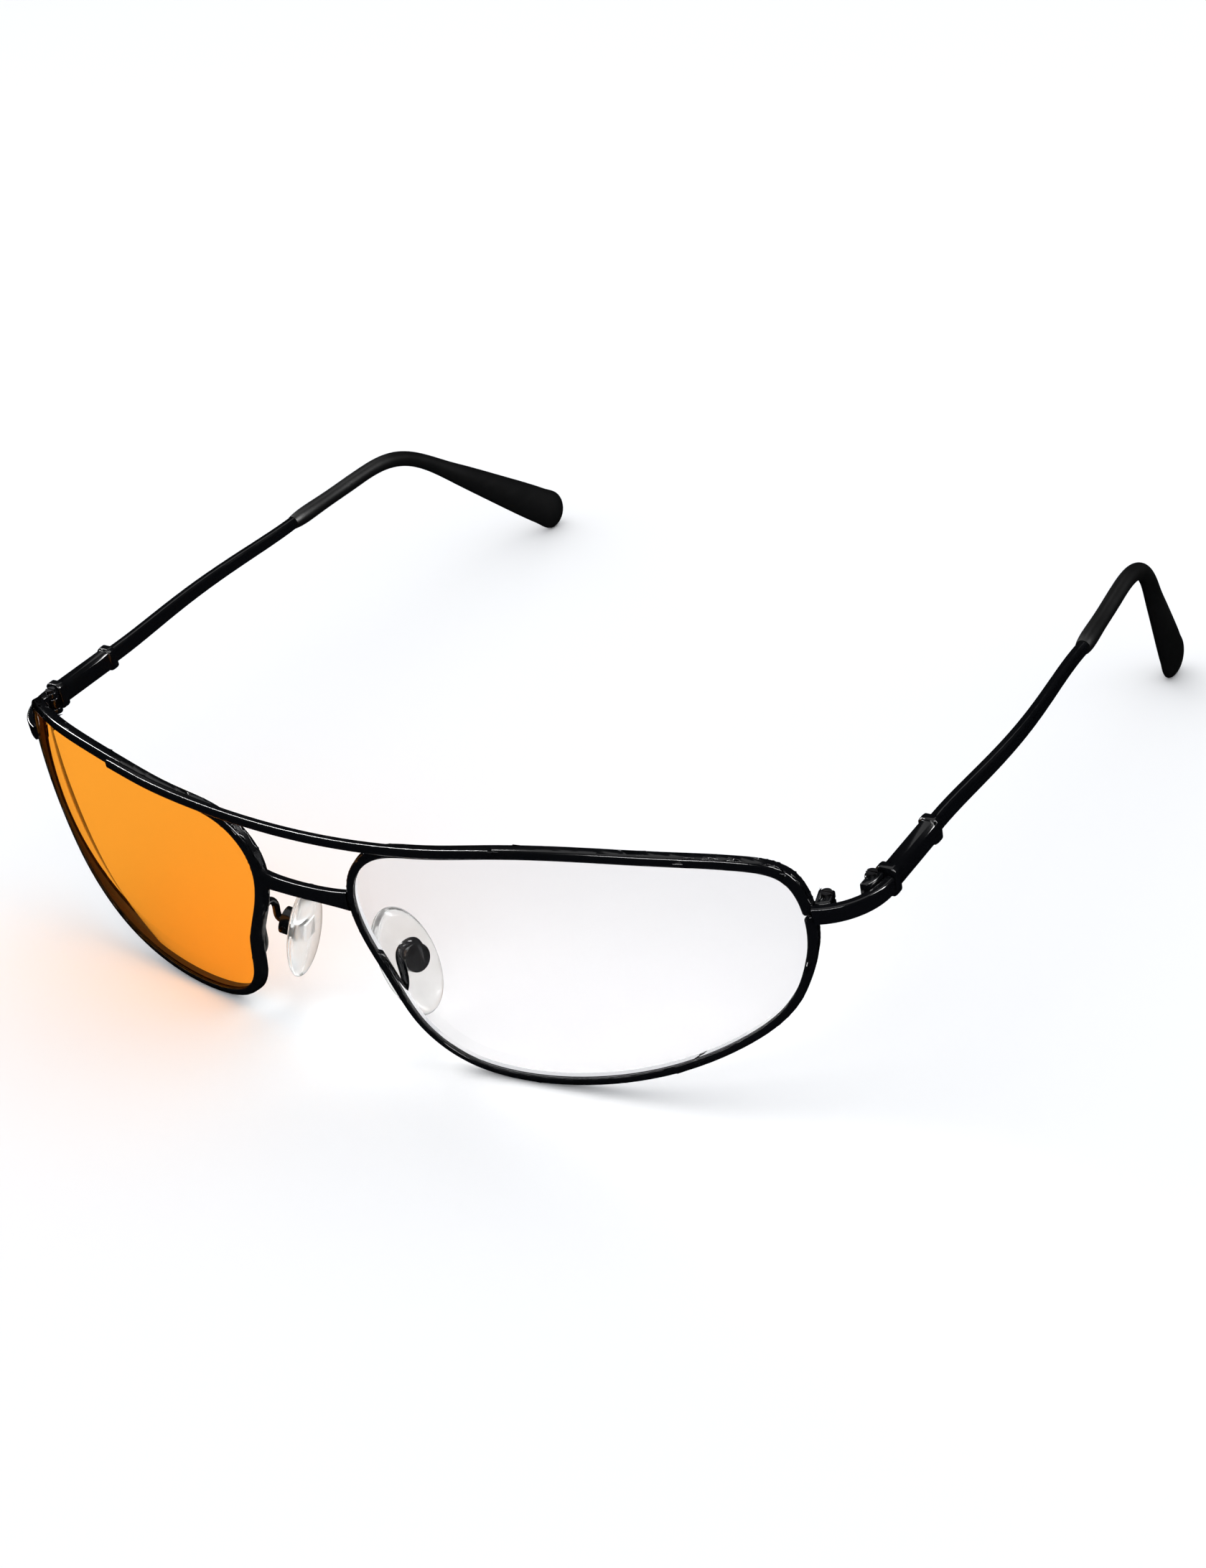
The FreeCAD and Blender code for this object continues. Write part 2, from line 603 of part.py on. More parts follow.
def make_hinge_front():
    """Upper and lower knuckles on one plate behind the end piece."""
    radius = size("knuckle_radius")
    stack = size("knuckle_stack")
    plate_width = strap_x - hinge_x + size("web_thick")
    plate_length = size("plate_length") + size("hinge_back") - size("butt_gap") / 3
    plate = Part.makeBox(
        plate_width, plate_length, stack,
        Vector(hinge_x - size("web_thick"), hinge_y - size("plate_length"), stack_low))
    rear_room = Part.makeBox(
        2 * radius, 2 * radius, stack, Vector(hinge_x - 1.85 * radius, hinge_y, stack_low))
    barrel = Part.makeCylinder(radius, stack, Vector(hinge_x, hinge_y, stack_low))
    whole = plate.cut(rear_room).fuse(barrel)
    gap = size("middle_knuckle") + 2 * size("knuckle_gap")
    room = Part.makeBox(6 * radius, 6 * radius, gap,
                        Vector(hinge_x - 3 * radius, hinge_y - radius - size("butt_gap"), strap_up - gap / 2))
    bore = Part.makeCylinder(size("pin_radius") + size("pin_gap"), 2 * stack,
                             Vector(hinge_x, hinge_y, strap_up - stack))
    strap = strap_solid(size("strap_thick") + 2 * size("braze_gap"), size("knuckle_stack") * 2)
    outside = Part.makeBox(20, 40, 4 * stack, Vector(strap_x, strap_end - 30, strap_up - 2 * stack))
    return feature("hinge_front_left", whole.cut(room).cut(bore).cut(strap).cut(outside))


def make_slider():
    """Middle knuckle, the tongue that runs in the housing, and the rod that carries the spring."""
    radius = size("knuckle_radius")
    tall = size("middle_knuckle")
    width = size("tongue_width")
    barrel = Part.makeCylinder(radius, tall, Vector(hinge_x, hinge_y, middle_low))
    web_low = tongue_x - width / 2
    strap_inside = strap_x - size("strap_thick") / 2
    web = Part.makeBox(strap_inside - 2 * size("slide_gap") - web_low, collar_y - hinge_y + width / 2, tall,
                       Vector(web_low, hinge_y, middle_low))
    tongue = Part.makeBox(width, size("tongue_length"), tall,
                          Vector(web_low, collar_y + size("slide_gap"), middle_low))
    rear = collar_y + size("slide_gap") + size("tongue_length")
    rod = Part.makeCylinder(size("rod_radius"), size("rod_length"), Vector(tongue_x, rear, strap_up),
                            Vector(0, 1, 0))
    bore = Part.makeCylinder(size("pin_radius") + size("pin_gap"), 2 * tall,
                             Vector(hinge_x, hinge_y, strap_up - tall))
    return feature("hinge_slider_left", barrel.fuse(web).fuse(tongue).fuse(rod).cut(bore))


channel_end = collar_y + size("slide_gap") + size("tongue_length") + size("slide_gap")
rod_end = collar_y + size("slide_gap") + size("tongue_length") + size("rod_length")
guide_y = channel_end + 2 * size("slide_gap")
spring_start_y = guide_y + size("guide_length") + size("end_gap")
stop_y = rod_end - size("stop_length")


def along_temple(x, y):
    """A placement whose own z runs back along the temple."""
    return Placement(Vector(x, y, strap_up), Rotation(Vector(1, 0, 0), -90))


def make_housing():
    body = new_body("hinge_housing_left", along_temple(housing_x, collar_y))
    collar = new_sketch(body, "housing_collar")
    bevelled_rectangle(collar, "collar_width", "collar_height", "housing_bevel")
    pad(body, collar, "collar_length")
    shell = new_sketch(body, "housing_shell")
    bevelled_rectangle(shell, "housing_width", "housing_height", "housing_bevel")
    pad(body, shell, "housing_length")
    ring = new_sketch(body, "housing_ring", "housing_length - ring_length")
    bevelled_rectangle(
        ring, "housing_width + 2 * ring_stand", "housing_height + 2 * ring_stand", "housing_bevel")
    pad(body, ring, "ring_length")
    solid = body.Tip
    doc.recompute()
    before = solid.Shape.Volume
    channel = new_sketch(body, "housing_channel")
    far = "tongue_width / 2 + slide_gap"
    up = "middle_knuckle / 2 + slide_gap"
    right = f"( {far} - housing_offset )"
    left = f"( -1 * ( {far} ) - housing_offset )"
    polygon(channel, [(right, f"-1 * ( {up} )"), (right, up), (left, up), (left, f"-1 * ( {up} )")])
    pocket(body, channel, "tongue_length + 2 * slide_gap")
    chamber = new_sketch(body, "housing_chamber", "tongue_length + slide_gap")
    hole = chamber.addGeometry(Part.Circle(Vector(-0.3, 0, 0), Vector(0, 0, 1), 1.0), False)
    pin_point(chamber, hole, 3, "-1 * housing_offset", "0 * housing_offset")
    number = chamber.addConstraint(Sketcher.Constraint("Radius", hole, 1.0))
    chamber.setExpression(f"Constraints[{number}]", cell("chamber_radius"))
    pocket(body, chamber, "rod_length + 4 * slide_gap")
    socket = new_sketch(body, "housing_socket", "housing_length - tenon_length - slide_gap")
    rectangle(socket, "bar_thick + 2 * slide_gap", "bar_tall_end + 2 * slide_gap")
    pocket(body, socket, "tenon_length + 2 * slide_gap")
    doc.recompute()
    if body.Shape.Volume > before * 0.95:
        raise ValueError("the channel of the housing was not cut")
    return body


def make_ring(name, y, length, outer, inner):
    """A plain ring on the rod of the slider."""
    body = new_body(name, along_temple(tongue_x, y))
    disc = new_sketch(body, name + "_disc")
    circle(disc, outer)
    circle(disc, inner)
    pad(body, disc, length)
    return body


def make_spring():
    length = stop_y - size("end_gap") - spring_start_y
    wire = size("spring_wire")
    radius = size("chamber_radius") - wire - size("coil_gap")
    helix = Part.makeHelix((length - 2 * wire) / size("spring_turns"), length - 2 * wire, radius)
    profile = Part.Wire([Part.Circle(Vector(radius, 0, 0), Vector(0, 1, 0), wire).toShape()])
    coil = Part.Wire(helix.Edges).makePipeShell([profile], True, True)
    coil.translate(Vector(0, 0, wire))
    coil.Placement = along_temple(tongue_x, spring_start_y).multiply(coil.Placement)
    return feature("hinge_spring_left", coil)


# ---------------------------------------------------------------- temple and tip

bar_start = collar_y + size("housing_length")
sleeve_start = bar_start + size("bar_length")


class Bend:
    """The middle line of one temple tip, in its own upright plane: straight, round over the ear, straight."""

    def __init__(self, side):
        self.straight = size("straight_" + side)
        self.radius = size("bend_radius_" + side)
        self.turn = math.radians(size("drop_angle_" + side))
        lean = size("lean_" + side)
        fall = size("tip_fall") / math.cos(math.radians(lean))
        self.round_end = self.straight + self.radius * self.turn
        self.drop = (fall - self.radius * (1 - math.cos(self.turn))) / math.sin(self.turn)
        self.length = self.round_end + self.drop
        toe = size("toe_" + side)
        clear = size("bar_thick") / 2 * math.sin(math.radians(toe))
        turned = Rotation(Vector(0, 0, 1), toe).multiply(Rotation(Vector(0, 1, 0), lean))
        self.place = Placement(Vector(housing_x, sleeve_start + clear, strap_up), turned)

    def point(self, travel):
        """Place and heading after a length along the line."""
        if travel <= self.straight:
            return Vector(0, travel, 0), 0.0
        angle = min((travel - self.straight) / self.radius, self.turn)
        place = Vector(0, self.straight + self.radius * math.sin(angle), -self.radius * (1 - math.cos(angle)))
        rest = max(travel - self.round_end, 0)
        return place + Vector(0, math.cos(angle), -math.sin(angle)) * rest, angle

    def across(self, travel):
        """A placement across the line: own x to the side, own y up."""
        place, heading = self.point(travel)
        return frame_at(place, (1, 0, 0), (0, math.sin(heading), math.cos(heading)))

    def core(self, radius, reach):
        """A round wire along the line."""
        first = Vector(0, -size("tenon_length") / 4, 0)
        bend_start = self.point(self.straight)[0]
        bend_middle = self.point((self.straight + self.round_end) / 2)[0]
        bend_end = self.point(self.round_end)[0]
        path = Part.Wire([
            Part.LineSegment(first, bend_start).toShape(),
            Part.Arc(bend_start, bend_middle, bend_end).toShape(),
            Part.LineSegment(bend_end, self.point(reach)[0]).toShape()])
        profile = Part.Wire([Part.Circle(first, Vector(0, 1, 0), radius).toShape()])
        wire = path.makePipeShell([profile], True, False)
        wire.Placement = self.place
        return wire


def make_temple(name, bend):
    """The flat bar from the hinge housing, with its tenon and the wire inside the tip."""
    thick = size("bar_thick")
    sections = []
    for share in (0, 0.25, 0.5, 0.75, 1):
        x = housing_x + size("bar_bow") * math.sin(math.pi * share) ** 2
        y = bar_start + size("end_gap") / 2 + (size("bar_length") - size("end_gap")) * share
        tall = size("bar_tall") + (size("bar_tall_end") - size("bar_tall")) * share
        sections.append(rounded_wire(thick, tall, frame_at(Vector(x, y, strap_up), (-1, 0, 0), (0, 0, 1)),
                                     thick * 0.3))
    bar = Part.makeLoft(sections, True, False)
    tenon = Part.makeBox(thick, size("tenon_length") + 2 * size("end_gap"), size("bar_tall_end"),
                         Vector(housing_x - thick / 2, bar_start - size("tenon_length"),
                                strap_up - size("bar_tall_end") / 2))
    core = bend.core(size("core_radius"), bend.length * size("core_share"))
    return feature(name, bar.fuse(tenon).fuse(core))


def make_tip(name, bend):
    """The plastic sleeve: round at the temple, flat and broad at its end."""
    sections = []
    length = bend.length
    grow_start = bend.round_end
    grow_end = length - size("paddle_tall") * size("paddle_taper")
    for share in (0, 0.018, 0.1, 0.2, 0.3, 0.4, 0.5, 0.6, 0.7, 0.8, 0.88, 0.93, 0.962, 0.984, 0.996):
        travel = length * share
        grown = min(max((travel - grow_start) / (grow_end - grow_start), 0), 1)
        grown = grown * (1 + grown * (1 - grown) / 2)
        tall = size("sleeve_tall") + grown * (size("paddle_tall") - size("sleeve_tall"))
        thick = size("sleeve_thick") + grown * (size("paddle_thick") - size("sleeve_thick"))
        end = min((length - travel) / (size("paddle_tall") * size("paddle_round")), 1)
        rounding = math.sqrt(1 - (1 - end) ** 2)
        if travel == 0:
            rounding = size("sleeve_mouth")
        ring = Part.Ellipse(Vector(), tall / 2 * rounding, thick / 2 * (1 + 2 * rounding) / 3)
        wire = Part.Wire([ring.toShape()])
        wire.Placement = bend.across(travel).multiply(Placement(Vector(), Rotation(Vector(0, 0, 1), 90)))
        sections.append(wire)
    sleeve = Part.makeLoft(sections, True, False)
    sleeve.Placement = bend.place
    bore = bend.core(size("core_radius") + size("core_gap"), length * size("core_share") + size("core_gap"))
    return feature(name, sleeve.cut(bore))


# ---------------------------------------------------------------- nose pads

pad_lean = math.radians(size("pad_lean"))
pad_splay = math.radians(size("pad_splay"))
pad_up = Vector(-math.sin(pad_lean), 0, math.cos(pad_lean))
level = Vector(0, 1, 0)
pad_across = level * math.cos(pad_splay) + level.cross(pad_up) * math.sin(pad_splay)
pad_place = frame_at(Vector(size("pad_out"), size("pad_back"), size("pad_height")), pad_across * -1, pad_up)


def make_pad_box():
    """A round cup with a square window, open towards the pad."""
    floor = Placement(Vector(0, 0, -size("box_depth") / 2), Rotation())
    cup = new_body("pad_box_cup", pad_place.multiply(floor))
    rim = new_sketch(cup, "pad_box_round")
    circle(rim, "box_radius")
    pad(cup, rim, "box_depth")
    window = new_sketch(cup, "pad_box_window", "box_floor")
    rectangle(window, "box_window", "box_window")
    pocket(cup, window, "box_depth")
    doc.recompute()
    bored = doc.addObject("Part::Feature", "pad_box_hole")
    bored.Shape = pad_screw_room()
    return cut("pad_box_left", cup, bored)


def pad_screw_room():
    """The hole of the pad screw, across the box."""
    reach = 2 * size("box_radius") + 2
    hole = Part.makeCylinder(
        size("pad_screw") + size("pin_gap"), reach, Vector(-reach / 2, 0, 0), Vector(1, 0, 0))
    flat = Part.makeCylinder(size("pad_head") + size("pin_gap"), reach, Vector(screw_seat(), 0, 0),
                             Vector(1, 0, 0))
    room = hole.fuse(flat)
    room.Placement = pad_place
    return room


def screw_seat():
    """How far from the middle of the box the head of the pad screw sits."""
    return size("box_radius") - size("head_height")


def make_insert_and_pad():
    """The metal insert with its stem in the box, and the soft pad round its plate."""
    face = size("box_depth") / 2
    under = face + size("box_standoff")
    middle = under + size("pad_under")
    stem = size("stem_side")
    stem_low = size("box_floor") + 2 * size("insert_gap") - face
    blank = Part.makeBox(stem, stem, middle - stem_low, Vector(-stem / 2, -stem / 2, stem_low))
    plate_low = middle - size("insert_thick")
    wide, long, thick = size("insert_wide"), size("insert_long"), size("insert_thick")
    plate = Part.makeBox(wide, long, thick, Vector(-wide / 2, -long / 2, plate_low))
    corners = [edge for edge in plate.Edges if abs(edge.tangentAt(edge.FirstParameter).z) > 0.9]
    plate = plate.makeFillet(wide * 0.3, corners)
    blank = blank.fuse(plate)
    hole = Part.makeCylinder(size("pad_screw") + size("pin_gap"), 4 * stem, Vector(-2 * stem, 0, 0),
                             Vector(1, 0, 0))
    insert = blank.cut(hole)

    gap = size("insert_gap")
    side = stem / 2 + gap
    room = Part.makeBox(2 * side, 2 * side, middle + gap, Vector(-side, -side, 0))
    wide, long = wide + 2 * gap, long + 2 * gap
    room = room.fuse(Part.makeBox(wide, long, thick + 2 * gap, Vector(-wide / 2, -long / 2, plate_low - gap)))
    shape = doc.addObject("Part::Ellipsoid", "pad_dome")
    bind(shape, Radius1=cell("pad_dome"), Radius2=cell("pad_wide / 2"), Radius3=cell("pad_long / 2"))
    doc.recompute()
    dome = shape.Shape.copy()
    dome.translate(Vector(0, -size("pad_drop"), middle))
    keep = Part.makeBox(40, 40, 20, Vector(-20, -20, under))
    soft = dome.common(keep)
    rear = [edge for edge in soft.Edges if abs(edge.CenterOfMass.z - under) < 1e-4]
    soft = soft.makeFillet(size("pad_round"), rear).cut(room)
    insert.Placement = pad_place
    soft.Placement = pad_place
    return feature("pad_insert_left", insert), feature("nose_pad_left", soft)


def make_pad_arm():
    """The gooseneck from the rear of the eyewire up and over to the pad box."""
    radius = size("arm_radius")
    foot_up = size("pad_height") - size("foot_drop")
    across = edge_at_height(foot_up, -1) - size("rim_width") / 2
    rear = front_of(across, foot_up) - size("rim_depth") * 0.86
    foot = lens_place.multVec(Vector(across, foot_up, rear))
    face = pad_place.multVec(Vector(0, 0, -size("box_depth") / 2 - size("braze_gap")))
    out = pad_place.Rotation.multVec(Vector(0, 0, -1))
    rise = size("arm_rise")
    behind = size("arm_radius") + size("rim_depth")
    points = [
        foot + Vector(0, -radius, -radius / 3),
        foot + Vector(0, 1.3 * radius, 0.7 * radius),
        foot + Vector(0, behind - 1.3 * radius, rise * 0.5),
        foot + Vector(-0.7 * radius, behind + radius / 2, rise * 0.92),
        foot + Vector(0, behind + 3.3 * radius, rise * 0.95),
        face + out * 1.6 * radius + Vector(0, 0, rise * 0.36),
        face + out * 1.4 * radius,
        face]
    curve = Part.BSplineCurve()
    curve.interpolate(points)

    def section(place):
        ring = Part.Wire([Part.Circle(Vector(), Vector(0, 0, 1), radius).toShape()])
        ring.Placement = place
        return ring

    arm = loft_along(curve, 25, section, (1, 0, 0))
    ring = prism(size("rim_width") + size("braze_gap")).common(ball(-1.0))
    behind = ball(size("rim_depth") + size("braze_gap"), -size("depth_side"), -size("depth_rise"))
    lens_rear = ball(size("lens_inset") + size("lens_thickness") + size("seat_gap"))
    lens_room = prism(0).common(ball(-1.0)).cut(lens_rear)
    solid_rim = ring.cut(behind).fuse(lens_room)
    solid_rim.Placement = lens_place
    cup = Part.makeCylinder(size("box_radius") + 1, size("box_depth"), Vector(0, 0, -size("box_depth") / 2))
    cup.Placement = pad_place
    free_arm = arm.cut(solid_rim).cut(cup)
    return feature("pad_arm_left", max(free_arm.Solids, key=lambda solid: solid.Volume))


# ---------------------------------------------------------------- the whole pair

rim = make_rim()
lens = make_lens()
brow_bar = make_brow_bar()
bridge = make_bridge()
end_piece = make_end_piece()
closing_parts = make_closing_blocks()
hinge_front = make_hinge_front()
slider = make_slider()
housing = make_housing()
guide = make_ring(
    "spring_guide_left", guide_y, "guide_length", "chamber_radius - pin_gap", "rod_radius + slide_gap")
stop = make_ring(
    "spring_stop_left", stop_y, "stop_length", "chamber_radius - slide_gap", "rod_radius + pin_gap")
spring = make_spring()
left_bend = Bend("left")
right_bend = Bend("right")
temple = make_temple("temple_left", left_bend)
tip = make_tip("temple_tip_left", left_bend)
temple_for_right = make_temple("temple_for_right", right_bend)
tip_for_right = make_tip("temple_tip_for_right", right_bend)
pad_arm = make_pad_arm()
pad_box = make_pad_box()
insert, nose_pad = make_insert_and_pad()
pad_screw = make_screw(
    "pad_screw_left", "pad_screw", "2 * box_radius - head_height - box_floor", "pad_head",
    pad_place.multiply(frame_at(Vector(size("box_floor") - size("box_radius"), 0, 0), (0, 1, 0), (0, 0, 1))))
hinge_screw = make_screw(
    "hinge_screw_left", "pin_radius", "knuckle_stack + pin_gap", "small_head",
    Placement(Vector(hinge_x, hinge_y, stack_low), Rotation()))
doc.recompute()

twin_parts = [rim, lens, end_piece, hinge_front, hinge_screw, slider, housing, guide, stop, spring,
              pad_arm, pad_box, pad_screw, insert, nose_pad] + closing_parts
left_parts = twin_parts + [temple, tip]
mirrored_parts = twin_parts + [temple_for_right, tip_for_right]
middle_parts = [brow_bar, bridge]

# Tip the whole pair forward until the temple tips reach the level of the rims' lowest points, then put
# the origin under the middle.
rim_low = min(rim.Shape.tessellate(0.02)[0], key=lambda point: point.z)
tip_low = min(tip.Shape.tessellate(0.02)[0], key=lambda point: point.z)
stand_angle = math.degrees(math.atan2(rim_low.z - tip_low.z, tip_low.y - rim_low.y))
tilt = Placement(Vector(), Rotation(Vector(1, 0, 0), stand_angle))


def tipped_points(part):
    return [tilt.multVec(point) for point in part.Shape.tessellate(0.02)[0]]


tipped = tipped_points(rim) + tipped_points(tip) + tipped_points(tip_for_right)
front = min(point.y for point in tipped + tipped_points(brow_bar))
rear = max(point.y for point in tipped)
base = min(point.z for point in tipped)
stand = Placement(Vector(0, -(front + rear) / 2, -base), Rotation()).multiply(tilt)
for part in left_parts + middle_parts + [temple_for_right, tip_for_right]:
    part.Placement = stand.multiply(part.Placement)

right_parts = []
for part in mirrored_parts:
    other = doc.addObject("Part::Mirroring", part.Name + "_mirrored")
    other.Source = part
    other.Base = (0, 0, 0)
    other.Normal = (1, 0, 0)
    other.Label = part.Label.replace("_left", "_right").replace("_for_right", "_right")
    right_parts.append(other)
doc.recompute()

for item in doc.Objects:
    if "Invalid" in item.State or "Error" in item.State:
        raise ValueError(item.Name + " did not build")

os.makedirs("parts", exist_ok=True)
for part in left_parts + middle_parts + right_parts:
    if part.Shape.isNull() or not part.Shape.isValid():
        raise ValueError(part.Label + " has no valid shape")
    part.Shape.exportStep("parts/" + part.Label + ".step")

print("stand angle", round(stand_angle, 3), "shift", stand.Base)
for name, point in (("hinge", Vector(hinge_x, hinge_y, strap_up)), ("pad", pad_place.Base),
                    ("tongue", Vector(tongue_x, spring_start_y, strap_up))):
    print(name, stand.multVec(point))
print("pad axis", stand.Rotation.multVec(pad_across), "up", stand.Rotation.multVec(Vector(0, 0, 1)),
      "back", stand.Rotation.multVec(Vector(0, 1, 0)))
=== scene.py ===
import json
import math

import bmesh
import bpy
from mathutils import Matrix, Vector


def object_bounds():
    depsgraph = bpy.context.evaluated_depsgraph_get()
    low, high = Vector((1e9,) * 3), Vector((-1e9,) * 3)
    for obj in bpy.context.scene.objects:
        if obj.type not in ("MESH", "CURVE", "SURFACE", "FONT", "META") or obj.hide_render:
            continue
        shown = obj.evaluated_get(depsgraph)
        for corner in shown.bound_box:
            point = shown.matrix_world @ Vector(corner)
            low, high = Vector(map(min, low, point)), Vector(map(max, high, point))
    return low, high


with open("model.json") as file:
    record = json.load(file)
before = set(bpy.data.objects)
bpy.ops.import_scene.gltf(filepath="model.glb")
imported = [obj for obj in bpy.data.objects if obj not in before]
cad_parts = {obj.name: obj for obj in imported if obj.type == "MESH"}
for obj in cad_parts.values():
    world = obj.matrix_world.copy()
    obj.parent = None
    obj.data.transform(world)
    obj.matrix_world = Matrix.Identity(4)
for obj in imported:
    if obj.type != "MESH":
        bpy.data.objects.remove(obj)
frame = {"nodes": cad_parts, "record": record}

# Looks for a pair of full metal double-bridge spectacles: black lacquered frame, one clear and one orange
# lens, clear silicone nose pads and satin black temple tips. Lengths are in metres.

MM = 0.001
nodes = frame["nodes"]
cad_low, cad_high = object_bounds()

# How far the sharp edges of a carried-over piece are rounded; each piece has a left and a right one.
ROUNDED = {
    "rim": 0.32 * MM,
    "closing_block_upper": 0.2 * MM,
    "closing_block_lower": 0.2 * MM,
    "hinge_housing": 0.22 * MM,
    "hinge_front": 0.15 * MM,
    "hinge_slider": 0.1 * MM,
}
WELD_GAP = 0.002 * MM
ROUND_STEPS = 3
SHARP_ANGLE = math.radians(35.0)

# A face belongs to the ground edge of a lens when the cosine between its normal and the axis is below this.
EDGE_COSINE = 0.82

FLOOR_RADIUS = 9.0
FLOOR_CORNERS = 96

SKY_TINT = (0.95, 0.97, 1.0)
SKY_STRENGTH = 0.92

OVERHEAD_PLACE = (-0.15, 0.25, 1.3)
OVERHEAD_SIDE = 1.5
OVERHEAD_BRIGHTNESS = 0.75

# Narrow lamps that draw the highlights along the bars: place, width and height of each.
STRIPS = {
    "front_strip": ((0.55, -0.9, 0.75), 0.9, 0.10),
    "left_strip": ((0.9, 0.35, 0.6), 0.10, 0.9),
    "right_strip": ((-0.9, 0.2, 0.7), 0.10, 0.9),
}
STRIP_BRIGHTNESS = 40.0

CAMERA_PLACE = Vector((0.19790, -0.26221, 0.18958))
CAMERA_LOOK = Vector((-0.53377, 0.68131, -0.50090))
CAMERA_RIGHT = Vector((0.82685, 0.54464, -0.14032))
LENS_LENGTH_MM = 56.33
SENSOR_WIDTH_MM = 36.0
NEAREST_SEEN = 0.01
FARTHEST_SEEN = 50.0

# Sockets of a Mix node that mixes colours: several of its sockets have the same name.
MIX_FACTOR = 0
MIX_BELOW = 6
MIX_ABOVE = 7
MIX_RESULT = 2


# ---------------------------------------------------------------- shader groups

def new_group(name, inputs, output):
    """An empty shader group with number inputs, as {name: start value}, and one number output."""
    group = bpy.data.node_groups.new(name, "ShaderNodeTree")
    for label, start in inputs.items():
        socket = group.interface.new_socket(label, in_out="INPUT", socket_type="NodeSocketFloat")
        socket.default_value = start
    group.interface.new_socket(output, in_out="OUTPUT", socket_type="NodeSocketFloat")
    return group, group.nodes.new("NodeGroupInput"), group.nodes.new("NodeGroupOutput")


def feed(tree, socket, term):
    """Gives a socket a number, a colour of three shares, or another node's output."""
    if isinstance(term, tuple):
        socket.default_value = (*term, 1)
    elif isinstance(term, (int, float)):
        socket.default_value = term
    else:
        tree.links.new(term, socket)


def math_node(tree, operation, first, second, clamp=False):
    """A Math node; each term is a number or an output socket."""
    node = tree.nodes.new("ShaderNodeMath")
    node.operation = operation
    node.use_clamp = clamp
    feed(tree, node.inputs[0], first)
    feed(tree, node.inputs[1], second)
    return node.outputs[0]


def noise(tree, scale, detail, roughness, stretch=None):
    """Noise laid in the object's own space; the scale is a number or a socket, in turns a metre."""
    place = tree.nodes.new("ShaderNodeTexCoord").outputs["Object"]
    if stretch:
        mapping = tree.nodes.new("ShaderNodeMapping")
        mapping.inputs["Scale"].default_value = stretch
        tree.links.new(place, mapping.inputs["Vector"])
        place = mapping.outputs["Vector"]
    node = tree.nodes.new("ShaderNodeTexNoise")
    node.inputs["Detail"].default_value = detail
    node.inputs["Roughness"].default_value = roughness
    tree.links.new(place, node.inputs["Vector"])
    feed(tree, node.inputs["Scale"], scale)
    return node.outputs["Fac"]


def spread(tree, value, low, high, to_low=0.0, to_high=1.0):
    """Stretches a value's range to another, clamped."""
    node = tree.nodes.new("ShaderNodeMapRange")
    node.inputs["From Min"].default_value = low
    node.inputs["From Max"].default_value = high
    node.inputs["To Min"].default_value = to_low
    node.inputs["To Max"].default_value = to_high
    tree.links.new(value, node.inputs["Value"])
    return node.outputs["Result"]


def make_edge_wear():
    """Where an edge is rubbed: sharp edges only, broken up by noise."""
    group, given, out = new_group("EdgeRub", {"Radius": 0.2 * MM, "Amount": 1.0}, "Mask")
    bevel = group.nodes.new("ShaderNodeBevel")
    bevel.samples = 4
    group.links.new(given.outputs["Radius"], bevel.inputs["Radius"])
    plain = group.nodes.new("ShaderNodeNewGeometry")
    cosine = group.nodes.new("ShaderNodeVectorMath")
    cosine.operation = "DOT_PRODUCT"
    group.links.new(bevel.outputs["Normal"], cosine.inputs[0])
    group.links.new(plain.outputs["Normal"], cosine.inputs[1])
    turned = spread(group, cosine.outputs["Value"], low=0.995, high=0.90)
    patches = spread(group, noise(group, 900.0, detail=4.0, roughness=0.6), low=0.48, high=0.62)
    rubbed = math_node(group, "MULTIPLY", turned, patches)
    amount = given.outputs["Amount"]
    group.links.new(math_node(group, "MULTIPLY", rubbed, amount, clamp=True), out.inputs["Mask"])
    return group


def make_handling():
    """Finger marks and fine wiping lines, as a value that changes the roughness."""
    group, given, out = new_group("HandlingMarks", {"Scale": 60.0}, "Value")
    smudges = noise(group, given.outputs["Scale"], detail=5.0, roughness=0.6)
    smears = spread(group, smudges, low=0.42, high=0.68)
    lines = noise(group, 700.0, detail=2.0, roughness=0.5, stretch=(1.0, 0.08, 1.0))
    wiped = spread(group, lines, low=0.5, high=0.8, to_high=0.5)
    group.links.new(math_node(group, "ADD", smears, wiped), out.inputs["Value"])
    return group


def make_dust():
    """Fine dust that settles on what faces up."""
    group, given, out = new_group("SettledDust", {"Amount": 0.3}, "Mask")
    geometry = group.nodes.new("ShaderNodeNewGeometry")
    parts = group.nodes.new("ShaderNodeSeparateXYZ")
    group.links.new(geometry.outputs["Normal"], parts.inputs["Vector"])
    up = spread(group, parts.outputs["Z"], low=0.2, high=0.95)
    specks = spread(group, noise(group, 5200.0, detail=2.0, roughness=0.7), low=0.66, high=0.72)
    haze = noise(group, 260.0, detail=3.0, roughness=0.6)
    cloud = spread(group, haze, low=0.4, high=0.7, to_low=0.05, to_high=0.35)
    settled = math_node(group, "MULTIPLY", up, math_node(group, "ADD", specks, cloud))
    amount = given.outputs["Amount"]
    group.links.new(math_node(group, "MULTIPLY", settled, amount, clamp=True), out.inputs["Mask"])
    return group


def make_unevenness():
    """The faint unevenness of a sprayed or moulded surface, as a height."""
    group, given, out = new_group("FineUnevenness", {"Scale": 2500.0}, "Height")
    swells = noise(group, given.outputs["Scale"], detail=2.0, roughness=0.5)
    group.links.new(swells, out.inputs["Height"])
    return group


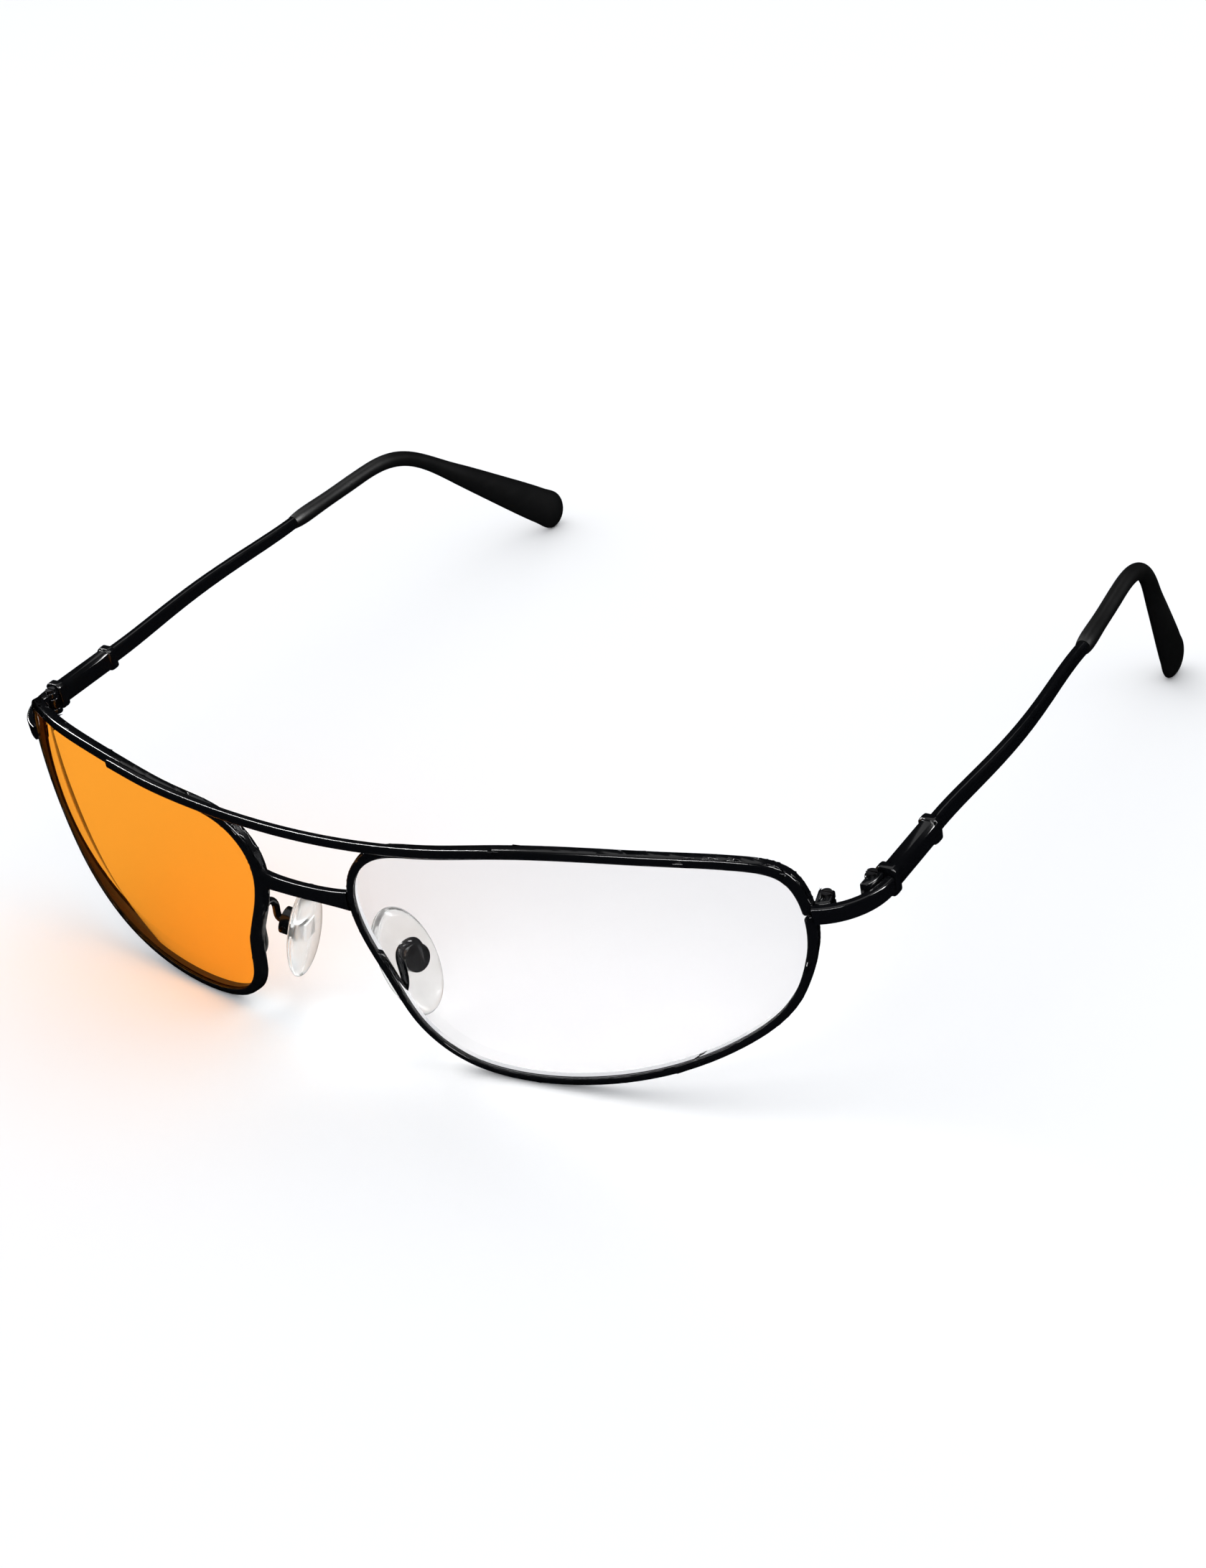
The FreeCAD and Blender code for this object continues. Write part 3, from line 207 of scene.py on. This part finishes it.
edge_wear = make_edge_wear()
handling = make_handling()
dust = make_dust()
unevenness = make_unevenness()


# ---------------------------------------------------------------- materials

class Finish:
    """A material under construction: one Principled shader and the nodes that feed it."""

    def __init__(self, name, **plain):
        self.material = bpy.data.materials.new(name)
        self.material.use_nodes = True
        self.tree = self.material.node_tree
        self.shader = self.tree.nodes["Principled BSDF"]
        self.output = self.tree.nodes["Material Output"]
        for socket, value in plain.items():
            self.shader.inputs[socket.replace("_", " ")].default_value = value

    def place(self, group, **values):
        """Places a shader group with its own values and gives its output."""
        node = self.tree.nodes.new("ShaderNodeGroup")
        node.node_tree = group
        for socket, value in values.items():
            node.inputs[socket].default_value = value
        return node.outputs[0]

    def colour(self, base, *layers):
        """Base colour with (mask, colour) layers over it."""
        below = base
        for mask, tint in layers:
            mix = self.tree.nodes.new("ShaderNodeMix")
            mix.data_type = "RGBA"
            feed(self.tree, mix.inputs[MIX_BELOW], below)
            feed(self.tree, mix.inputs[MIX_ABOVE], tint)
            feed(self.tree, mix.inputs[MIX_FACTOR], mask)
            below = mix.outputs[MIX_RESULT]
        self.tree.links.new(below, self.shader.inputs["Base Color"])

    def roughness(self, base, *layers):
        """Base roughness plus (value, gain) layers."""
        total = base
        for value, gain in layers:
            total = math_node(self.tree, "ADD", math_node(self.tree, "MULTIPLY", value, gain), total)
        self.tree.links.new(total, self.shader.inputs["Roughness"])

    def bump(self, height, depth):
        """Shades a height from 0 to 1 as a relief of the given depth."""
        node = self.tree.nodes.new("ShaderNodeBump")
        node.inputs["Distance"].default_value = depth
        self.tree.links.new(height, node.inputs["Height"])
        self.tree.links.new(node.outputs["Normal"], self.shader.inputs["Normal"])

    def let_lamps_through(self, tint):
        """Lamps shine through, tinted, so that a clear piece doesn't cast a solid shadow."""
        clear = self.tree.nodes.new("ShaderNodeBsdfTransparent")
        feed(self.tree, clear.inputs["Color"], tint)
        path = self.tree.nodes.new("ShaderNodeLightPath")
        mix = self.tree.nodes.new("ShaderNodeMixShader")
        self.tree.links.new(path.outputs["Is Shadow Ray"], mix.inputs["Fac"])
        self.tree.links.new(self.shader.outputs["BSDF"], mix.inputs[1])
        self.tree.links.new(clear.outputs["BSDF"], mix.inputs[2])
        self.tree.links.new(mix.outputs["Shader"], self.output.inputs["Surface"])


def lacquer_finish():
    """Glossy black lacquer over metal, slightly rubbed at the edges."""
    black = (0.0028, 0.0031, 0.0040)
    worn = (0.09, 0.09, 0.095)
    dusty = (0.32, 0.31, 0.29)
    finish = Finish("black_lacquer", Metallic=0.0, IOR=1.5, Specular_IOR_Level=0.45)
    marks = finish.place(handling, Scale=90.0)
    rubbed = finish.place(edge_wear, Radius=0.15 * MM, Amount=0.2)
    settled = finish.place(dust, Amount=0.012)
    finish.colour(black, (rubbed, worn), (settled, dusty))
    finish.roughness(0.10, (marks, 0.07), (rubbed, 0.12), (settled, 0.3))
    finish.bump(finish.place(unevenness, Scale=3200.0), depth=0.004 * MM)
    return finish.material


def plastic_finish():
    """Satin black moulded plastic."""
    black = (0.0034, 0.0036, 0.0040)
    worn = (0.04, 0.04, 0.04)
    dusty = (0.30, 0.29, 0.27)
    finish = Finish("satin_black_plastic", IOR=1.47, Specular_IOR_Level=0.6)
    marks = finish.place(handling, Scale=70.0)
    rubbed = finish.place(edge_wear, Radius=0.2 * MM, Amount=0.25)
    settled = finish.place(dust, Amount=0.015)
    finish.colour(black, (rubbed, worn), (settled, dusty))
    finish.roughness(0.32, (marks, 0.08), (settled, 0.3))
    finish.bump(finish.place(unevenness, Scale=7000.0), depth=0.006 * MM)
    return finish.material


def steel_finish(name, tone, rough, grain):
    """Bare or blackened steel with a drawn grain, brighter where it is rubbed."""
    bright = (0.22, 0.215, 0.21)
    finish = Finish(name, Metallic=1.0)
    marks = finish.place(handling, Scale=300.0)
    rubbed = finish.place(edge_wear, Radius=0.12 * MM, Amount=0.8)
    finish.colour(tone, (rubbed, bright))
    finish.roughness(rough, (marks, 0.14))
    drawn = noise(finish.tree, grain, detail=2.0, roughness=0.5, stretch=(1.0, 1.0, 0.15))
    finish.bump(drawn, depth=0.006 * MM)
    return finish.material


def silicone_finish():
    """Clear soft silicone with a faint cloud in it."""
    clear = (0.97, 0.97, 0.955)
    milky = (0.90, 0.90, 0.875)
    finish = Finish("clear_silicone", IOR=1.41, Transmission_Weight=0.96)
    cloud = spread(finish.tree, noise(finish.tree, 420.0, detail=4.0, roughness=0.6), low=0.35, high=0.7)
    finish.colour(clear, (cloud, milky))
    finish.roughness(0.07, (cloud, 0.10))
    finish.bump(finish.place(unevenness, Scale=1500.0), depth=0.008 * MM)
    finish.let_lamps_through((0.93, 0.93, 0.92))
    return finish.material


def lens_finish(name, bend, tint, shade_tint):
    """Coated lens; bend is its refraction, kept low so that it hardly mirrors."""
    marked_share = 0.985
    marked = tuple(marked_share * share for share in tint)
    finish = Finish(name, IOR=bend, Transmission_Weight=1.0)
    marks = finish.place(handling, Scale=45.0)
    finish.colour(tint, (spread(finish.tree, marks, low=0.2, high=1.4), marked))
    finish.roughness(0.0, (marks, 0.012))
    finish.bump(finish.place(unevenness, Scale=120.0), depth=0.0015 * MM)
    finish.let_lamps_through(shade_tint)
    return finish.material


def lens_edge_painted_shade_finish():
    """The ground edge of a tinted lens, coloured near-black brown as painted shade that stands in for the
    rim's inner wall and its shade seen through the lens.
    """
    # Painted shade: these dark browns stand in for shade seen through the lens, not for the colour of a
    # ground edge.
    dark = (0.035, 0.014, 0.003)
    lighter = (0.06, 0.024, 0.006)
    finish = Finish("lens_edge_painted_shade", IOR=1.5, Specular_IOR_Level=0.2)
    marks = finish.place(handling, Scale=200.0)
    finish.colour(dark, (spread(finish.tree, marks, low=0.2, high=1.4), lighter))
    finish.roughness(0.55, (marks, 0.1))
    return finish.material


finishes = {
    "frame_black": lacquer_finish(),
    "screw_black": steel_finish("blackened_screw", tone=(0.035, 0.035, 0.038), rough=0.26, grain=9000.0),
    "hinge_steel": steel_finish("dark_hinge_steel", tone=(0.06, 0.06, 0.063), rough=0.22, grain=7000.0),
    "insert_metal": steel_finish("dull_insert", tone=(0.07, 0.067, 0.063), rough=0.34, grain=6000.0),
    "pad_silicone": silicone_finish(),
    "lens_clear": lens_finish(
        "clear_lens", bend=1.16, tint=(0.855, 0.845, 0.848), shade_tint=(0.98, 0.98, 0.98)),
    "lens_orange": lens_finish(
        "orange_lens", bend=1.03, tint=(0.99, 0.355, 0.030), shade_tint=(0.99, 0.97, 0.94)),
    "tip_plastic": plastic_finish(),
}


# ---------------------------------------------------------------- carried-over pieces

def cover(item, material):
    """Gives an object one material instead of what it had."""
    item.data.materials.clear()
    item.data.materials.append(material)


def paint_shade_on_lens_edge(item, material):
    """Gives the ground edge of a lens a material of painted shade, seen as a dark band inside the eyewire
    in place of the rim's wall and shade seen through the lens.
    """
    item.data.materials.append(material)
    band = len(item.data.materials) - 1
    total = Vector()
    for face in item.data.polygons:
        if face.normal.y < 0:
            total += face.normal * face.area
    axis = total.normalized()
    for face in item.data.polygons:
        if abs(face.normal.dot(axis)) < EDGE_COSINE:
            face.material_index = band


def round_edges(item, width):
    """Joins the faces of a carried-over piece and rounds its sharp edges."""
    weld = item.modifiers.new("join", "WELD")
    weld.merge_threshold = WELD_GAP
    bevel = item.modifiers.new("round", "BEVEL")
    bevel.width = width
    bevel.segments = ROUND_STEPS
    bevel.limit_method = "ANGLE"
    bevel.angle_limit = SHARP_ANGLE
    bevel.use_clamp_overlap = False
    bevel.harden_normals = False
    for face in item.data.polygons:
        face.use_smooth = True


for entry in frame["record"]["subparts"]:
    cover(nodes[entry["node"]], finishes[entry["material_slot"]])

# Painted shade: the edge of the right lens is coloured dark brown to stand in for the rim's wall and shade
# seen through it.
paint_shade_on_lens_edge(nodes["lens_right"], lens_edge_painted_shade_finish())

for stem, width in ROUNDED.items():
    for side in ("left", "right"):
        round_edges(nodes[f"{stem}_{side}"], width)


# ---------------------------------------------------------------- floor, light and camera

def make_floor():
    """A wide pale sheet under the object; the glossy pieces don't mirror it, so that they stay black."""
    mesh = bpy.data.meshes.new("floor")
    shape = bmesh.new()
    bmesh.ops.create_circle(shape, cap_ends=True, segments=FLOOR_CORNERS, radius=FLOOR_RADIUS)
    shape.to_mesh(mesh)
    shape.free()
    item = bpy.data.objects.new("floor", mesh)
    bpy.context.scene.collection.objects.link(item)
    pale = (0.93, 0.93, 0.93)
    duller = (0.915, 0.915, 0.918)
    finish = Finish("pale_floor", Roughness=0.9)
    patches = noise(finish.tree, 6.0, detail=3.0, roughness=0.5)
    finish.colour(pale, (patches, duller))
    cover(item, finish.material)
    item.visible_glossy = False


def make_surroundings():
    """An even pale light from all round, which the glossy pieces don't mirror either."""
    world = bpy.data.worlds.new("studio")
    world.use_nodes = True
    background = world.node_tree.nodes["Background"]
    background.inputs["Color"].default_value = (*SKY_TINT, 1)
    background.inputs["Strength"].default_value = SKY_STRENGTH
    world.cycles_visibility.glossy = False
    bpy.context.scene.world = world


def soft_box(name, place, target, width, height, brightness):
    """A rectangular lamp that faces a point; the brightness is its power for an area, over pi."""
    lamp = bpy.data.lights.new(name, "AREA")
    lamp.shape = "RECTANGLE"
    lamp.size = width
    lamp.size_y = height
    lamp.energy = brightness * math.pi * width * height
    item = bpy.data.objects.new(name, lamp)
    item.location = place
    item.rotation_mode = "QUATERNION"
    item.rotation_quaternion = (Vector(target) - Vector(place)).to_track_quat("-Z", "Y")
    bpy.context.scene.collection.objects.link(item)
    return item


def make_camera():
    """The camera stands at its place; its axes follow from where it looks and what its right is."""
    settings = bpy.data.cameras.new("camera")
    settings.lens = LENS_LENGTH_MM
    settings.sensor_width = SENSOR_WIDTH_MM
    settings.clip_start = NEAREST_SEEN
    settings.clip_end = FARTHEST_SEEN
    back = -CAMERA_LOOK.normalized()
    across = CAMERA_RIGHT - CAMERA_RIGHT.dot(back) * back
    across.normalize()
    turn = Matrix((across, back.cross(across), back)).transposed()
    camera = bpy.data.objects.new("camera", settings)
    camera.matrix_world = Matrix.Translation(CAMERA_PLACE) @ turn.to_4x4()
    bpy.context.scene.collection.objects.link(camera)
    bpy.context.scene.camera = camera


make_floor()
make_surroundings()

middle = (cad_low + cad_high) / 2
soft_box("overhead", OVERHEAD_PLACE, middle, OVERHEAD_SIDE, OVERHEAD_SIDE, OVERHEAD_BRIGHTNESS)

# The strips are seen only as highlights: they don't light the floor, which stays even.
for name, (place, width, height) in STRIPS.items():
    strip = soft_box(name, place, middle, width, height, STRIP_BRIGHTNESS)
    strip.visible_diffuse = False
    strip.visible_transmission = False

make_camera()
bpy.context.scene.view_settings.view_transform = "Standard"
